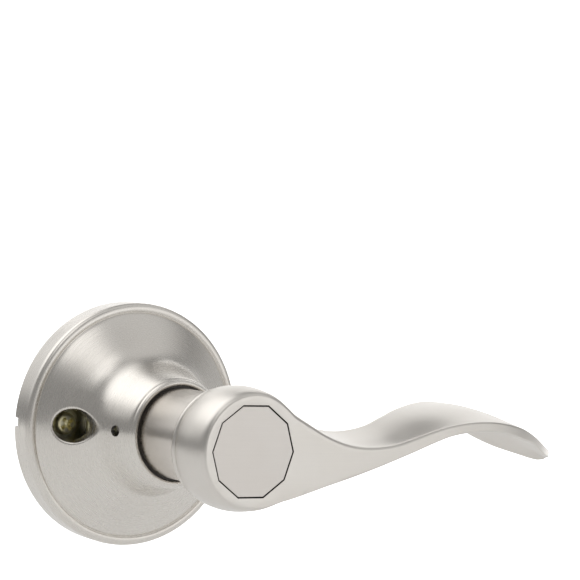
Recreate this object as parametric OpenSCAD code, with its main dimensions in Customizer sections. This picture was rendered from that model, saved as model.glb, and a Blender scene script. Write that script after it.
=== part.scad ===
// Door lever handle, spring-return half set for one side of a door.
// Frame: origin at the centre of the rose's back face, on the spindle axis.
// -Y points out of the door towards the hand, +X runs along the lever, +Z is up.
// All lengths are in millimetres. Modules are written with their local Z pointing out of the door.

/* [Rose] */
// Outer radius of the rose at the door
rose_r = 33.35; // [28:0.05:40]
// Height of the rose's straight side wall
rose_wall_h = 7.4; // [5:0.1:10]
// Distance from the door to the front of the collar
collar_h = 30.5; // [24:0.1:36]
// Inner radius of the collar's opening
collar_r = 13.1; // [12.7:0.05:15]
// Sheet thickness of the rose
rose_t = 0.9; // [0.6:0.05:1.4]
// Distance of the screw access holes from the axis
access_r = 22.6; // [20:0.1:25]
// Diameter of the screw access holes
access_d = 8.8; // [8:0.1:11]
// Diameter of the hole that reaches the lever catch
catch_hole_d = 3.0; // [2:0.1:4]
// Distance from the door to the catch hole
catch_h = 24; // [21:0.1:25]
// Width of the pry notch in the rim
notch_w = 2.4; // [1.5:0.1:4]
// Depth of the pry notch in the rim
notch_h = 1.6; // [1:0.1:3]

/* [Mounting] */
// Radius of the mounting plate
plate_r = 31.9; // [28:0.1:32]
// Thickness of the mounting plate
plate_t = 1.8; // [1.2:0.1:3]
// Height of the plate's rim flange
plate_rim_h = 4.6; // [3:0.1:6]
// Distance of each mounting screw from the axis
screw_pcr = 20.64; // [18:0.01:23]
// Radius of the mounting screws' shanks
screw_r = 2.08; // [1.8:0.01:2.6]
// Radius of the mounting screws' heads
screw_head_r = 3.1; // [2.8:0.1:4.5]
// Length of screw that stands out behind the plate
screw_out = 16; // [8:1:50]
// Height of the plate's screw bosses
boss_h = 2.6; // [2.2:0.1:7]
// Length of the fixed bearing sleeve
bearing_h = 17.8; // [12:0.1:18]

/* [Drive] */
// Outer radius of the drive tube
tube_r = 10.4; // [9.5:0.05:11]
// Wall of the drive tube
tube_t = 1.4; // [1:0.05:2]
// Radial running clearance of the turning parts
run_gap = 0.05; // [0.02:0.01:0.1]
// Outer radius of the neck sleeve
neck_r = 12.25; // [11.8:0.05:12.6]
// Distance from the door to the inner end of the neck sleeve
neck_h0 = 20.2; // [19.8:0.1:21]
// Radius of the half-round spindle
spindle_r = 4.7; // [3.5:0.1:6]
// Length of spindle that stands out behind the plate
spindle_out = 38; // [20:1:60]
// Largest turn of the lever each way, in degrees
lever_turn = 50; // [30:1:60]

/* [Return spring] */
// Mean radius of the spring's coil
coil_r = 13.9; // [13.5:0.05:14.1]
// Wire diameter of the spring
coil_wire = 1.8; // [1:0.1:1.9]
// Rise of the coil in each turn
coil_pitch = 2.4; // [2.1:0.1:3]
// Number of turns in the coil
coil_turns = 4; // [3:1:4]

/* [Lever] */
// Distance from the door to the flat front of the lever
lever_h = 66.9; // [60:0.1:75]
// Distance from the door to the back edge of the hub
hub_h0 = 51; // [48:0.1:55]
// Radius of the hub's back edge
hub_back_r = 15.2; // [14:0.1:16]
// Largest radius of the hub
hub_max_r = 16.4; // [15:0.1:18]
// Sideways offset of the hub's centre
hub_dx = -0.3; // [-1:0.05:1]
// Vertical offset of the hub's centre
hub_dz = -0.8; // [-1.5:0.05:1.5]
// Corner radius of the ten-sided cap in the hub
cap_r = 12.3; // [10:0.05:13]
// Gap around the cap
cap_gap = 0.22; // [0.1:0.01:0.5]
// Thickness of the cap
cap_t = 1.6; // [1:0.1:3]

/* [Hidden] */

steel_c = [0.72, 0.70, 0.66];
nickel_c = [0.78, 0.76, 0.73];
zinc_c = [0.80, 0.72, 0.42];
dark_c = [0.16, 0.16, 0.17];

// Rose outer profile, radius and height, from the rim to the lip of the collar
rose_out = [[rose_r, 0], [rose_r + 0.15, rose_wall_h - 1.0], [rose_r + 0.02, rose_wall_h - 0.4],
    [rose_r - 0.38, rose_wall_h - 0.08], [rose_r - 0.9, rose_wall_h], [31.62, rose_wall_h],
    [31.3, rose_wall_h - 0.3], [31.0, rose_wall_h - 0.42], [30.7, rose_wall_h - 0.2], [30.4, 7.75], [29.4, 8.55],
    [28.0, 9.5], [26.0, 10.75], [24.0, 12.0], [22.0, 13.3], [20.4, 14.5], [19.1, 15.9], [18.1, 17.6],
    [17.3, 19.9], [16.6, 22.6], [15.95, 25.0], [15.3, 27.3], [14.8, 28.8], [14.3, collar_h - 0.7],
    [13.95, collar_h - 0.2], [13.6, collar_h], [13.3, collar_h - 0.12], [collar_r, collar_h - 0.45]];
rose_in = [[collar_r, 29.3], [13.5, 28.7], [14.0, 27.6], [14.4, 26.5], [15.05, 24.5], [15.7, 22.2],
    [16.4, 19.8], [17.25, 17.8], [18.35, 15.7], [19.7, 14.0], [21.4, 12.55], [23.4, 11.25], [25.4, 10.0],
    [27.5, 8.7], [28.9, 7.75], [30.2, 6.75], [31.6, 6.4], [32.2, 6.3], [rose_r - rose_t, 5.9],
    [rose_r - rose_t, 0]];

module out() { rotate([90, 0, 0]) children(); }

module rose_solid() { rotate_extrude($fn = 180) polygon(concat([[0, 0]], rose_out, [[0, 29.3]])); }

module rose() {
    color(nickel_c) out() difference() {
        union() {
            rotate_extrude($fn = 180) polygon(concat(rose_out, rose_in));
            // eyelets turned inwards round the two screw access holes
            intersection() {
                for (s = [-1, 1]) translate([s * access_r, 0, 8]) difference() {
                    cylinder(r = access_d / 2 + 0.8, h = 12, $fn = 64);
                    translate([0, 0, -1]) cylinder(r = access_d / 2, h = 14, $fn = 64);
                }
                rose_solid();
            }
        }
        for (s = [-1, 1]) translate([s * access_r, 0, 4]) cylinder(r = access_d / 2, h = 20, $fn = 64);
        translate([-20, 0, catch_h]) rotate([0, 90, 0]) cylinder(r = catch_hole_d / 2, h = 8, $fn = 40);
        translate([-rose_r - 1, -notch_w / 2, -1]) cube([3, notch_w, notch_h + 1]);
    }
}

module rose_clips() {
    color(steel_c) out() for (a = [30, 150, 270]) rotate([0, 0, a - 9])
        rotate_extrude(angle = 18, $fn = 180) translate([plate_r, 1]) square([0.4, 3.2]);
}

module mounting_plate() {
    color(zinc_c) out() difference() {
        union() {
            cylinder(r = plate_r, h = plate_t, $fn = 180);
            rotate_extrude($fn = 180) translate([plate_r - 1.2, 0]) square([1.2, plate_rim_h]);
            for (s = [-1, 1]) translate([s * screw_pcr, 0, 0]) cylinder(r = 5.2, h = boss_h, $fn = 64);
        }
        translate([0, 0, -1]) cylinder(r = 12.2, h = 8, $fn = 96);
        for (s = [-1, 1]) translate([s * screw_pcr, 0, -1]) cylinder(r = screw_r + 0.2, h = 10, $fn = 48);
        // lightening windows above and below
        for (a = [90, 270]) for (s = [-1, 1]) rotate([0, 0, a + s * 22]) translate([25.2, 0, -1]) cylinder(r = 2.6, h = 8, $fn = 48);
    }
}

module mounting_screws() {
    color(zinc_c) out() for (s = [-1, 1]) translate([s * screw_pcr, 0, 0]) difference() {
        union() {
            translate([0, 0, -screw_out]) cylinder(r = screw_r, h = screw_out, $fn = 48);
            translate([0, 0, -1]) cylinder(r = screw_r - 0.12, h = boss_h + 2.2, $fn = 48);
            translate([0, 0, boss_h + 1.0]) rotate_extrude($fn = 64)
                polygon([[0, 0], [screw_head_r, 0], [screw_head_r, 1.0], [screw_head_r - 0.3, 1.7], [screw_head_r - 1.0, 2.2], [screw_head_r - 2.0, 2.45], [0, 2.5]]);
        }
        // cross recess
        for (a = [45, 135]) rotate([0, 0, a]) translate([-2.1, -0.45, boss_h + 1.9]) cube([4.2, 0.9, 3]);
    }
}

module screw_washers() {
    color(steel_c) out() for (s = [-1, 1]) translate([s * screw_pcr, 0, boss_h])
        rotate([0, 0, s > 0 ? 20 : 200]) rotate_extrude(angle = 350, $fn = 64) translate([screw_r + 0.25, 0]) square([1.6, 0.95]);
}

module bearing_sleeve() {
    color(steel_c) out() difference() {
        union() {
            cylinder(r = 12.2, h = bearing_h, $fn = 96);
            translate([0, 0, plate_t]) cylinder(r = 12.7, h = 1.2, $fn = 96);
        }
        translate([0, 0, -1]) cylinder(r = tube_r + run_gap, h = bearing_h + 2, $fn = 96);
    }
}

module stop_posts() {
    color(steel_c) out() for (a = [-22, -158]) rotate([0, 0, a]) translate([16.6, 0, plate_t]) {
        cylinder(r = 1.4, h = 9.7, $fn = 40);
    }
}

module spring_anchor() {
    color(steel_c) out() rotate([0, 0, -90]) translate([15.2, -1.3, plate_t]) cube([1.3, 2.6, 4.4]);
}

// Round wire along a helix, as a closed polyhedron
module helix(r, w, pitch, turns, z0, a0, n = 30, m = 10) {
    steps = round(turns * n);
    pts = [for (i = [0:steps]) let (a = a0 + 360 * i / n, z = z0 + pitch * i / n)
        for (j = [0:m - 1]) let (b = 360 * j / m, rr = r + w / 2 * cos(b)) [rr * cos(a), rr * sin(a), z + w / 2 * sin(b)]];
    side = [for (i = [0:steps - 1]) for (j = [0:m - 1]) let (k = (j + 1) % m)
        each [[i * m + j, (i + 1) * m + k, (i + 1) * m + j], [i * m + j, i * m + k, (i + 1) * m + k]]];
    cap0 = [for (j = [1:m - 2]) [0, j + 1, j]];
    cap1 = [for (j = [1:m - 2]) [steps * m, steps * m + j, steps * m + j + 1]];
    polyhedron(points = pts, faces = concat(side, cap0, cap1), convexity = 10);
}

spring_z0 = 4.7;
spring_a0 = -99;
spring_a1 = spring_a0 + 360 * (coil_turns + 0.05);
spring_z1 = spring_z0 + coil_pitch * (coil_turns + 0.05);

module return_spring() {
    color(dark_c) out() {
        helix(coil_r, coil_wire, coil_pitch, coil_turns + 0.05, spring_z0, spring_a0);
        // two legs that stand beside the fixed anchor and the cam's finger
        for (e = [[spring_a0, spring_z0, 1], [spring_a1, spring_z1, -1]])
            rotate([0, 0, e[0]]) translate([0, 0, e[1]]) {
                translate([coil_r, 0, 0]) rotate([0, 90, 0]) cylinder(r = coil_wire / 2, h = 15.95 - coil_r, $fn = 24);
                translate([15.95, 0, 0]) sphere(r = coil_wire / 2, $fn = 24);
                translate([15.95, 0, 0]) rotate([e[2] > 0 ? 0 : 180, 0, 0]) cylinder(r = coil_wire / 2, h = spring_z1 - spring_z0, $fn = 24);
            }
    }
}

module guide_bushing() {
    color(dark_c) out() difference() {
        translate([0, 0, 25.8]) cylinder(r = 13.05, h = 3.5, $fn = 96);
        translate([0, 0, 25]) cylinder(r = neck_r + run_gap, h = 6, $fn = 96);
    }
}

// Stations along the arm: x, front y, front top z, front bottom z, back y, back top z, back bottom z, fillet depth, fillet rise
ST = [
    [0, -66.9, 12.0, -15.4, -51.6, 13.9, -15.5, 4.0, 1.9],
    [5, -66.9, 10.8, -14.9, -51.4, 12.7, -14.7, 4.0, 1.9],
    [11, -66.9, 8.2, -13.7, -51.1, 9.8, -11.4, 3.8, 1.8],
    [17, -66.9, 5.25, -12.05, -51.0, 7.3, -7.0, 3.4, 1.6],
    [23, -66.9, 2.4, -10.25, -50.9, 5.1, -3.2, 3.0, 1.4],
    [29, -66.9, 0.4, -8.55, -50.7, 3.7, -0.9, 2.6, 1.2],
    [35, -66.8, -0.5, -6.8, -50.4, 3.0, 0.1, 2.2, 1.0],
    [41, -66.6, -0.45, -4.95, -49.8, 3.3, 0.7, 1.9, 0.85],
    [47, -66.2, 0.3, -3.05, -48.9, 4.4, 1.8, 1.7, 0.75],
    [53, -65.8, 1.9, -1.1, -47.6, 6.5, 3.9, 1.5, 0.7],
    [59, -65.4, 3.65, 0.95, -45.8, 8.4, 5.8, 1.4, 0.65],
    [65, -64.9, 5.1, 2.75, -43.4, 9.5, 7.0, 1.3, 0.6],
    [71, -64.2, 5.95, 3.75, -40.2, 10.0, 7.5, 1.3, 0.6],
    [77, -63.4, 6.3, 4.15, -36.4, 9.9, 7.4, 1.3, 0.6],
    [83, -62.5, 6.15, 3.95, -32.6, 9.0, 6.5, 1.3, 0.6],
    [89, -61.4, 5.4, 3.0, -29.7, 7.1, 4.6, 1.3, 0.6],
    [95, -59.9, 4.0, 1.5, -28.2, 4.5, 2.0, 1.3, 0.6],
    [101, -57.6, 1.7, -0.15, -29.3, 1.5, -1.0, 1.3, 0.6],
    [105.5, -55.2, -0.35, -2.3, -33.0, -0.7, -3.2, 1.2, 0.6],
    [109.2, -52.6, -1.75, -3.75, -38.6, -1.9, -4.7, 1.1, 0.5],
    [112, -50.2, -2.55, -4.35, -43.7, -2.6, -5.75, 0.9, 0.4],
    [113.3, -49.1, -3.1, -4.6, -46.2, -3.2, -5.45, 0.5, 0.25],
    [113.7, -48.5, -3.7, -4.4, -47.1, -4.0, -5.0, 0.2, 0.05]];

function cr(a, b, c, d, t) = b + 0.5 * t * (c - a + t * (2 * a - 5 * b + 4 * c - d + t * (3 * (b - c) + d - a)));
function st(i) = ST[min(max(i, 0), len(ST) - 1)];
function at(s) = let (i = min(floor(s), len(ST) - 2), t = s - i) cr(st(i - 1), st(i), st(i + 1), st(i + 2), t);

// Closed section of the arm at one station, as [x, y, z] points
function sec(q) = let (x = q[0], yf = q[1], ft = q[2], fb = q[3], yr = q[4], rt = q[5], rb = q[6], d = q[7], u = q[8],
        w = yr - yf, k = min(1, w / 6), e = 0.9 * k,
        arch = 0.055 * w * min(1, max(0, (x - 30) / 25)), wall = 0.16 * max(0, fb + 0.0 < rb ? rb - fb : 0),
        ta = ft + u * k, tb = rt)
    [[x, yf, ft], [x, yf + 0.12 * d * k, ft + 0.5 * u * k], [x, yf + 0.45 * d * k, ft + 0.86 * u * k], [x, yf + d * k, ta],
     [x, yf + 0.35 * w, ta + (tb - ta) * 0.29 + 0.9 * arch], [x, yf + 0.58 * w, ta + (tb - ta) * 0.55 + arch],
     [x, yf + 0.8 * w, ta + (tb - ta) * 0.8 + 0.6 * arch], [x, yr - e, rt], [x, yr - 0.25 * e, rt - 0.3 * (rt - rb)],
     [x, yr - 0.25 * e, rb + 0.3 * (rt - rb)], [x, yr - e, rb],
     [x, yf + 0.8 * w, fb + (rb - fb) * 0.86 + 0.6 * arch], [x, yf + 0.58 * w, fb + (rb - fb) * 0.68 + arch + wall * 0.3],
     [x, yf + 0.35 * w, fb + (rb - fb) * 0.42 + 0.9 * arch + wall * 0.3], [x, yf + 1.1 * k, fb - 0.02], [x, yf + 0.25 * k, fb + 0.15 * k]];

module arm() {
    sub = 3;
    n = (len(ST) - 1) * sub;
    secs = [for (i = [0:n]) sec(at(i / sub))];
    m = len(secs[0]);
    pts = [for (s = secs) each s];
    side = [for (i = [0:n - 1]) for (j = [0:m - 1]) let (k = (j + 1) % m)
        each [[i * m + j, (i + 1) * m + j, (i + 1) * m + k], [i * m + j, (i + 1) * m + k, i * m + k]]];
    cap0 = [[for (j = [0:m - 1]) m - 1 - j]];
    cap1 = [[for (j = [0:m - 1]) n * m + j]];
    polyhedron(points = pts, faces = concat([for (f = side) [f[0], f[2], f[1]]], cap0, cap1), convexity = 6);
}

hub_prof = [[0, hub_h0], [hub_back_r - 0.5, hub_h0], [hub_back_r, hub_h0 + 0.5], [hub_back_r + 0.45, hub_h0 + 3],
    [hub_max_r - 0.25, hub_h0 + 6], [hub_max_r, hub_h0 + 8.5], [hub_max_r - 0.1, hub_h0 + 10.5], [hub_max_r - 0.5, hub_h0 + 12.5],
    [hub_max_r - 1.1, lever_h - 1.7], [hub_max_r - 1.8, lever_h - 0.6], [hub_max_r - 2.5, lever_h], [0, lever_h]];

module lever() {
    color(nickel_c) difference() {
        union() {
            arm();
            out() translate([hub_dx, hub_dz, 0]) rotate_extrude($fn = 120) polygon(hub_prof);
        }
        // socket for the neck sleeve, bore for the drive tube, seat for the cap and its plug
        out() translate([0, 0, hub_h0 - 5]) cylinder(r = neck_r, h = 8, $fn = 96);
        out() translate([0, 0, hub_h0]) cylinder(r = tube_r + 0.02, h = 11.2, $fn = 96);
        out() translate([hub_dx, hub_dz, lever_h - cap_t]) cylinder(r = cap_r + cap_gap, h = cap_t + 1, $fn = 10);
        out() translate([hub_dx, hub_dz, lever_h - cap_t - 4.4]) cylinder(r = 9.1, h = 5, $fn = 96);
    }
}

module face_cap() {
    color(nickel_c) out() translate([hub_dx, hub_dz, lever_h - cap_t + 0.02]) cylinder(r = cap_r, h = cap_t - 0.02, $fn = 10);
}

module cap_plug() {
    color(dark_c) out() translate([hub_dx, hub_dz, 0]) difference() {
        translate([0, 0, lever_h - cap_t - 3.9]) cylinder(r = 9.05, h = 3.9, $fn = 96);
        translate([0, 0, lever_h - cap_t - 5]) cylinder(r = 7.2, h = 3.4, $fn = 96);
    }
}

module neck_sleeve() {
    color(nickel_c) out() difference() {
        translate([0, 0, neck_h0]) cylinder(r = neck_r, h = hub_h0 + 3 - neck_h0, $fn = 120);
        translate([0, 0, neck_h0 - 1]) cylinder(r = tube_r + 0.02, h = 40, $fn = 96);
        translate([-14, 0, catch_h]) rotate([0, 90, 0]) cylinder(r = 1.35, h = 6, $fn = 40);
    }
}

module drive_tube() {
    color(steel_c) out() difference() {
        translate([0, 0, -4]) cylinder(r = tube_r, h = 4 + hub_h0 + 10, $fn = 96);
        translate([0, 0, -5]) cylinder(r = tube_r - tube_t, h = 80, $fn = 96);
        translate([-12, 0, catch_h]) rotate([0, 90, 0]) cylinder(r = 1.35, h = 6, $fn = 40);
        // groove for the retaining ring
        translate([0, 0, -1.35]) difference() {
            cylinder(r = tube_r + 1, h = 1.0, $fn = 96);
            translate([0, 0, -1]) cylinder(r = tube_r - 0.6, h = 3, $fn = 96);
        }
    }
}

module drive_cam() {
    color(steel_c) out() difference() {
        union() {
            translate([0, 0, 18.5]) cylinder(r = 13.2, h = 1.4, $fn = 96);
            rotate([0, 0, -90]) translate([11, -1.5, 18.5]) cube([5.2, 3.0, 1.2]);
            rotate([0, 0, -90]) translate([15.3, -1.5, 7]) cube([0.9, 3.0, 12.7]);
        }
        translate([0, 0, 17]) cylinder(r = tube_r + 0.02, h = 5, $fn = 96);
    }
}

module wave_washer() {
    color(steel_c) out() difference() {
        translate([0, 0, 18.05]) cylinder(r = 12.1, h = 0.4, $fn = 96);
        translate([0, 0, 17]) cylinder(r = tube_r + 0.15, h = 3, $fn = 96);
    }
}

module retaining_ring() {
    color(dark_c) out() rotate([0, 0, 25]) rotate_extrude(angle = 310, $fn = 120)
        translate([tube_r - 0.55, -1.3]) square([2.0, 0.9]);
}

module spindle_block() {
    color(zinc_c) out() difference() {
        translate([0, 0, 1]) cylinder(r = tube_r - tube_t, h = 13, $fn = 96);
        translate([0, 0, 0]) intersection() {
            cylinder(r = spindle_r + 0.05, h = 12, $fn = 64);
            translate([-6, -6, 0]) cube([12, 6.55, 12]);
        }
        translate([0, -12, 7]) rotate([-90, 0, 0]) cylinder(r = 1.05, h = 24, $fn = 32);
    }
}

module spindle() {
    color(steel_c) out() difference() {
        intersection() {
            translate([0, 0, -spindle_out]) cylinder(r = spindle_r, h = spindle_out + 11.9, $fn = 64);
            translate([-6, -6, -spindle_out]) cube([12, 6.5, spindle_out + 11.9]);
        }
        translate([0, -12, 7]) rotate([-90, 0, 0]) cylinder(r = 1.05, h = 24, $fn = 32);
    }
}

module spindle_pin() {
    color(steel_c) out() translate([0, -8.6, 7]) rotate([-90, 0, 0]) cylinder(r = 1.0, h = 17.2, $fn = 32);
}

module lever_catch() {
    color(steel_c) out() translate([0, 0, catch_h]) {
        translate([-12.1, 0, 0]) rotate([0, 90, 0]) cylinder(r = 1.3, h = 4.2, $fn = 40);
        translate([-8.3, 0, 0]) rotate([0, 90, 0]) cylinder(r = 2.3, h = 0.9, $fn = 40);
    }
}

module catch_spring() {
    color(steel_c) out() rotate([90, 0, 0]) translate([0, 0, -1.5]) linear_extrude(height = 3)
        polygon([[-7.35, 22.6], [-7.05, 22.6], [-6.9, 25.6], [5.6, 38.6], [6.6, 39.5], [7.4, 39.3], [7.75, 38.4], [7.75, 21.5],
            [8.15, 21.5], [8.15, 38.6], [7.75, 39.6], [6.7, 40.0], [5.4, 39.0], [-7.25, 25.9]]);
}

rose();
rose_clips();
mounting_plate();
mounting_screws();
screw_washers();
bearing_sleeve();
stop_posts();
spring_anchor();
return_spring();
guide_bushing();
lever();
face_cap();
cap_plug();
neck_sleeve();
drive_tube();
drive_cam();
wave_washer();
retaining_ring();
spindle_block();
spindle();
spindle_pin();
lever_catch();
catch_spring();
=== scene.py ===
import math
import bpy, bmesh
import numpy as np
from mathutils import Matrix, Vector
from mathutils.geometry import delaunay_2d_cdt


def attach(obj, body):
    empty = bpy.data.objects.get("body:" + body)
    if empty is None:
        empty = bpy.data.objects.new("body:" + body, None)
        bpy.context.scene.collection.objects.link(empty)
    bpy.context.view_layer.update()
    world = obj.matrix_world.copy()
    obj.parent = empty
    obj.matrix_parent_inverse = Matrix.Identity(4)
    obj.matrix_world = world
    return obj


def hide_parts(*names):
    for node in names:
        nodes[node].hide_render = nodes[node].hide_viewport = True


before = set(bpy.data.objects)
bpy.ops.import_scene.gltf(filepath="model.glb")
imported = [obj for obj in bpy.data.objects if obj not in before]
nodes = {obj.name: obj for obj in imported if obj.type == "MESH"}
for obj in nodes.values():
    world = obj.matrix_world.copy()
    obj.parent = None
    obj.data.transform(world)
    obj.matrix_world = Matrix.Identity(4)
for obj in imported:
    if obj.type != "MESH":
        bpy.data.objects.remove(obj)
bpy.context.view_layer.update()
scene = bpy.context.scene
MM = 0.001

# ---------------------------------------------------------------- camera
AZ, EL, ROLL = math.radians(-34.59), math.radians(2.08), math.radians(3.54)
back = Vector((math.sin(AZ) * math.cos(EL), -math.cos(AZ) * math.cos(EL), math.sin(EL)))
right = (-back).cross(Vector((0, 0, 1))).normalized()
upv = right.cross(-back)
r2 = right * math.cos(ROLL) + upv * math.sin(ROLL)
u2 = upv * math.cos(ROLL) - right * math.sin(ROLL)
cam_data = bpy.data.cameras.new("camera")
cam_data.sensor_width = 36.0
cam_data.sensor_fit = "HORIZONTAL"
cam_data.lens = 2796.32 * 36.0 / 580.0
cam_data.clip_start = 0.01
cam_data.clip_end = 50
cam = bpy.data.objects.new("camera", cam_data)
cam.matrix_world = Matrix(((r2.x, u2.x, back.x, -0.40195), (r2.y, u2.y, back.y, -0.66127), (r2.z, u2.z, back.z, 0.06743), (0, 0, 0, 1)))
scene.collection.objects.link(cam)
scene.camera = cam
scene.view_settings.view_transform = "Standard"
scene.view_settings.look = "None"


# ---------------------------------------------------------------- helpers
def bspline(P, sub=8):
    """Clamped uniform cubic B-spline along the control points P."""
    P = np.asarray(P, float)
    P = np.vstack([2 * P[0] - P[1], P, 2 * P[-1] - P[-2]])
    out = []
    for i in range(len(P) - 3):
        for k in range(sub):
            t = k / sub
            b = np.array([(1 - t) ** 3, 3 * t ** 3 - 6 * t * t + 4, -3 * t ** 3 + 3 * t * t + 3 * t + 1, t ** 3]) / 6
            out.append(b @ P[i:i + 4])
    out.append((P[-3] + P[-2] * 4 + P[-1]) / 6)
    return np.array(out)


def hermite(T, P, t):
    """Cubic interpolation of the rows P given at the parameters T."""
    T, P, t = np.asarray(T, float), np.asarray(P, float), np.asarray(t, float)
    M = np.zeros_like(P)
    M[1:-1] = (P[2:] - P[:-2]) / (T[2:] - T[:-2])[(slice(None),) + (None,) * (P.ndim - 1)]
    M[0] = (P[1] - P[0]) / (T[1] - T[0])
    M[-1] = (P[-1] - P[-2]) / (T[-1] - T[-2])
    i = np.clip(np.searchsorted(T, t, side="right") - 1, 0, len(T) - 2)
    w = T[i + 1] - T[i]
    u = (t - T[i]) / w
    sh = (slice(None),) + (None,) * (P.ndim - 1)
    u, w = u[sh], w[sh]
    return ((2 * u ** 3 - 3 * u * u + 1) * P[i] + (u ** 3 - 2 * u * u + u) * w * M[i]
            + (-2 * u ** 3 + 3 * u * u) * P[i + 1] + (u ** 3 - u * u) * w * M[i + 1])


class Build:
    """Collects points in millimetres and faces, then makes one welded object."""

    def __init__(self):
        self.v, self.f, self.dark = [], [], set()

    def add(self, pts):
        i = len(self.v)
        self.v.extend([tuple(map(float, p)) for p in pts])
        return list(range(i, i + len(pts)))

    def strip(self, a, b, closed=True):
        n = len(a)
        for i in range(n if closed else n - 1):
            j = (i + 1) % n
            self.f.append((a[i], a[j], b[j], b[i]))

    def grid(self, rows, closed=True):
        keep = [rows[0]]
        for r in rows[1:]:
            if np.abs(np.array(r, float) - np.array(keep[-1], float)).max() > 1e-5:
                keep.append(r)
        ids = [self.add(r) for r in keep]
        for a, b in zip(ids, ids[1:]):
            self.strip(a, b, closed)
        return ids

    def make(self, name, body, mat, node=None, slot=None, sharp=35, weld=2e-6, weighted=False, bevel=0, mat2=None):
        me = bpy.data.meshes.new(name)
        me.from_pydata([(x * MM, y * MM, z * MM) for x, y, z in self.v], [], self.f)
        # faces listed in dark take the second material; on the lever and the face cap that is the painted shade of the
        # gap round the cap
        for i in self.dark:
            me.polygons[i].material_index = 1
        bm = bmesh.new()
        bm.from_mesh(me)
        bmesh.ops.remove_doubles(bm, verts=bm.verts, dist=weld)
        bmesh.ops.dissolve_degenerate(bm, edges=bm.edges, dist=1e-7)
        loose = [v for v in bm.verts if not v.link_faces]
        bmesh.ops.delete(bm, geom=loose, context="VERTS")
        bmesh.ops.recalc_face_normals(bm, faces=bm.faces)
        opened = sum(1 for e in bm.edges if len(e.link_faces) != 2)
        if opened:
            print("OPEN EDGES", name, opened)
        bm.to_mesh(me)
        bm.free()
        me.shade_smooth()
        me.set_sharp_from_angle(angle=math.radians(sharp))
        ob = bpy.data.objects.new(name, me)
        scene.collection.objects.link(ob)
        if bevel:
            b = ob.modifiers.new("bevel", "BEVEL")
            b.width = bevel * MM
            b.segments = 2
            b.limit_method = "ANGLE"
            b.angle_limit = math.radians(40)
            b.harden_normals = False
        if weighted or bevel:
            w = ob.modifiers.new("normals", "WEIGHTED_NORMAL")
            w.keep_sharp = True
            w.weight = 60
        me.materials.append(mat)
        if mat2:
            me.materials.append(mat2)
        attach(ob, body)
        if node:
            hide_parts(node)
        return ob


def ring(r, h, ang, c=(0, 0)):
    return [(c[0] + r * math.cos(a), -h, c[1] + r * math.sin(a)) for a in ang]


def angles(n):
    return [2 * math.pi * i / n for i in range(n)]


def within(poly, x, y):
    """True when the point lies inside the closed 2D polygon."""
    X, Y = poly[:, 0], poly[:, 1]
    X2, Y2 = np.roll(X, -1), np.roll(Y, -1)
    hit = ((Y > y) != (Y2 > y)) & (x < (X2 - X) * (y - Y) / (Y2 - Y + 1e-15) + X)
    return bool(hit.sum() % 2)


def cdt(loops, inner_pts, keep):
    """Triangulates the plane region between closed loops of 2D points; keep(x, y) says which triangles stay."""
    pts, edges = [], []
    for lp in loops:
        k = len(pts)
        pts += [Vector(p) for p in lp]
        edges += [(k + i, k + (i + 1) % len(lp)) for i in range(len(lp))]
    pts += [Vector(p) for p in inner_pts]
    v, _, f, ov, _, _ = delaunay_2d_cdt(pts, edges, [], 0, 1e-7)
    src = [o[0] if o else -1 for o in ov]
    tris = []
    for t in f:
        cx = sum(v[i].x for i in t) / 3
        cy = sum(v[i].y for i in t) / 3
        if keep(cx, cy):
            tris.append(tuple(src[i] for i in t))
    return [t for t in tris if -1 not in t]


# ---------------------------------------------------------------- materials
def nt(mat):
    mat.use_nodes = True
    t = mat.node_tree
    return t, t.nodes["Principled BSDF"]


def new(t, kind, **kw):
    n = t.nodes.new(kind)
    for k, v in kw.items():
        setattr(n, k, v)
    return n


def math_node(t, op, a, b=None, clamp=False):
    n = new(t, "ShaderNodeMath", operation=op, use_clamp=clamp)
    for i, x in enumerate((a, b)):
        if x is None:
            continue
        if isinstance(x, (int, float)):
            n.inputs[i].default_value = x
        else:
            t.links.new(x, n.inputs[i])
    return n.outputs[0]


def vmath(t, op, a, b=None):
    n = new(t, "ShaderNodeVectorMath", operation=op)
    for i, x in enumerate((a, b)):
        if x is None:
            continue
        if isinstance(x, tuple):
            n.inputs[i].default_value = x
        else:
            t.links.new(x, n.inputs[i])
    return n


def combine(t, x, y, z):
    n = new(t, "ShaderNodeCombineXYZ")
    for i, v in enumerate((x, y, z)):
        if isinstance(v, (int, float)):
            n.inputs[i].default_value = v
        else:
            t.links.new(v, n.inputs[i])
    return n.outputs[0]


def noise(t, vec, scale=1.0, detail=2.0, rough=0.5):
    n = new(t, "ShaderNodeTexNoise")
    n.inputs["Scale"].default_value = scale
    n.inputs["Detail"].default_value = detail
    n.inputs["Roughness"].default_value = rough
    t.links.new(vec, n.inputs["Vector"])
    return n.outputs[0]


def remap(t, v, a, b, c, d, clamp=True):
    n = new(t, "ShaderNodeMapRange", clamp=clamp)
    t.links.new(v, n.inputs[0])
    for i, x in enumerate((a, b, c, d)):
        n.inputs[i + 1].default_value = x
    return n.outputs[0]


def mixc(t, f, a, b):
    n = new(t, "ShaderNodeMix", data_type="RGBA")
    t.links.new(f, n.inputs[0])
    n.inputs[6].default_value = (*a, 1)
    n.inputs[7].default_value = (*b, 1)
    return n.outputs[2]


def grain_coords(t, kind, centre=(0.0, 0.0)):
    """Object-space coordinates about the centre, with the radius and the direction round the Y axis, for spun_vec and
    line_vec to stretch along the brushing. kind is not used.
    """
    tc = new(t, "ShaderNodeTexCoord").outputs["Object"]
    p = vmath(t, "SUBTRACT", tc, (centre[0], 0.0, centre[1])).outputs[0]
    sep = new(t, "ShaderNodeSeparateXYZ")
    t.links.new(p, sep.inputs[0])
    x, y, z = sep.outputs
    r = math_node(t, "SQRT", math_node(t, "ADD", math_node(t, "MULTIPLY", x, x), math_node(t, "MULTIPLY", z, z)))
    rs = math_node(t, "MAXIMUM", r, 1e-4)
    cx, cz = math_node(t, "DIVIDE", x, rs), math_node(t, "DIVIDE", z, rs)
    return dict(tc=tc, p=p, x=x, y=y, z=z, r=r, cx=cx, cz=cz)


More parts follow.
